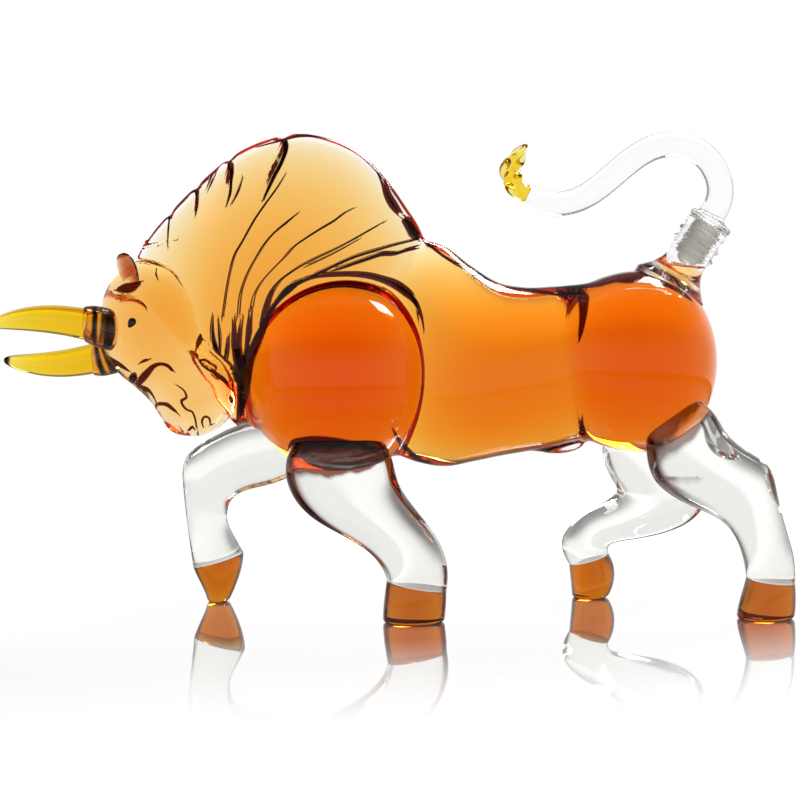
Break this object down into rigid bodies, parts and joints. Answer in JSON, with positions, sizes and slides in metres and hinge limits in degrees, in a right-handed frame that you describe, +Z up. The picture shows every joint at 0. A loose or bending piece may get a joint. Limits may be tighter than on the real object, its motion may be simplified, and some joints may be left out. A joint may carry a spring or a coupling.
{
  "type": "figural liquor decanter",
  "caption": "Blown-glass decanter shaped as a walking bull with lowered horned head, clear legs, coloured hooves and a pull-out tail stopper in a neck on the rump.",
  "frame": {"origin": "centre of the bounding box at the height of the soles, where the decanter stands", "axes": "+Z up, +X from the head to the rump, +Y to the bull's right side"},
  "size_m": [0.3294, 0.0814, 0.201],
  "materials": {
    "vessel_glass": "blown clear glass, shown with amber spirit behind it",
    "clear_glass": "clear fire-polished glass",
    "hoof_amber": "amber glass, fire-polished",
    "horn_yellow": "golden yellow glass, fire-polished",
    "ear_brown": "dark amber glass, fire-polished",
    "eye_black": "black glass bead",
    "seal_silicone": "translucent silicone, satin"
  },
  "bodies": {
    "decanter": {"chest_bulb": "vessel_glass", "barrel_section": "vessel_glass", "rump_bulb": "vessel_glass", "hump_mane": "vessel_glass", "head_bulb": "vessel_glass", "pour_neck": "clear_glass", "belly_sheath": "clear_glass", "front_left_leg": "clear_glass", "front_right_leg": "clear_glass", "rear_left_leg": "clear_glass", "rear_right_leg": "clear_glass", "front_left_hoof": "hoof_amber", "front_right_hoof": "hoof_amber", "rear_left_hoof": "hoof_amber", "rear_right_hoof": "hoof_amber", "left_horn": "horn_yellow", "right_horn": "horn_yellow", "left_horn_collar": "ear_brown", "right_horn_collar": "ear_brown", "left_ear": "ear_brown", "right_ear": "ear_brown", "left_eye": "eye_black", "right_eye": "eye_black"},
    "seal": {"seal_sleeve": "seal_silicone"},
    "tail": {"tail_stopper": "clear_glass", "tail_tuft": "horn_yellow"}
  },
  "joints": [
    {"name": "stopper_lift", "type": "slide", "parent": "decanter", "child": "seal", "axis": [0.5402, 0, 0.8415], "range_m": [0, 0.04]},
    {"name": "stopper_twist", "type": "hinge", "parent": "seal", "child": "tail", "pos_m": [0.13221, 0, 0.16077], "axis": [0.5402, 0, 0.8415], "continuous": true}
  ]
}
